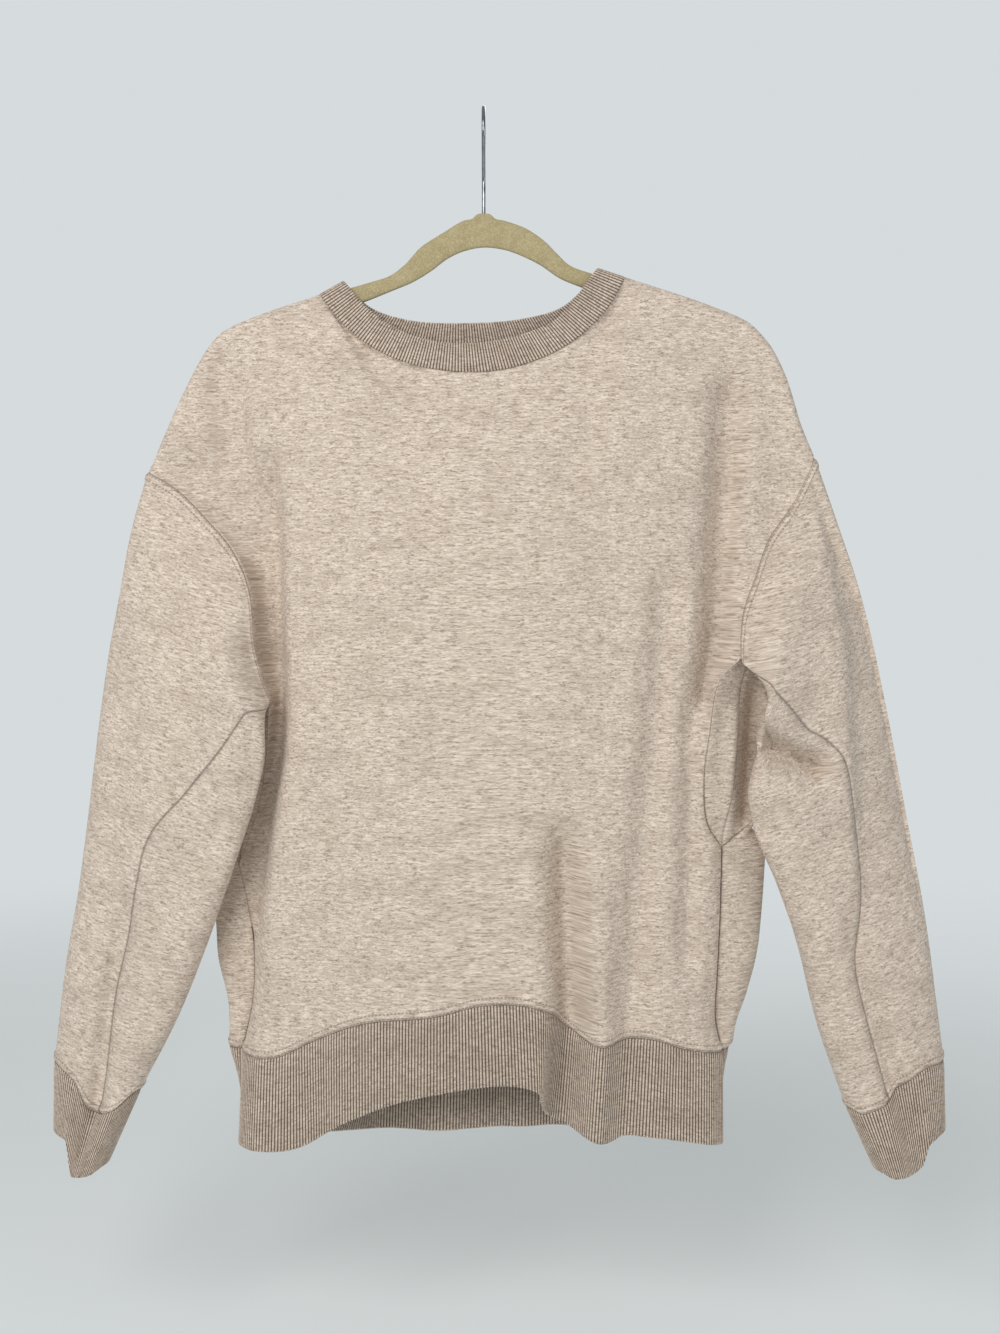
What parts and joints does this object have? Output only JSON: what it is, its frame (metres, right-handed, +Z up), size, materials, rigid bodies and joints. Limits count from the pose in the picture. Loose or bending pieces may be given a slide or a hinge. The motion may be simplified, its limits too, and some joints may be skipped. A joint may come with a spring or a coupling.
{
  "type": "crewneck sweatshirt on a hanger",
  "caption": "Oversized crewneck sweatshirt in heathered beige fleece with ribbed neck, cuffs and hem, hanging on a slim flocked hanger with a wire hook.",
  "frame": {"origin": "inside top of the hook's bend, where a rail carries the hanger", "axes": "+Z up, the garment's front faces -Y, +X to the viewer's right"},
  "size_m": [0.726, 0.0872, 0.8492],
  "materials": {
    "fleece": "heathered beige brushed fleece, matt",
    "rib": "heathered beige rib knit, matt",
    "flock": "cream velvet flocking over moulded plastic",
    "steel": "bright drawn wire"
  },
  "bodies": {
    "root": {"front": "fleece", "back": "fleece", "gusset_left": "fleece", "gusset_right": "fleece", "sleeve_left": "fleece", "sleeve_right": "fleece", "under_sleeve_left": "fleece", "under_sleeve_right": "fleece", "cuff_left": "rib", "cuff_right": "rib", "neckband": "rib", "hem_band": "rib", "hanger_body": "flock", "hook": "steel"}
  },
  "joints": []
}
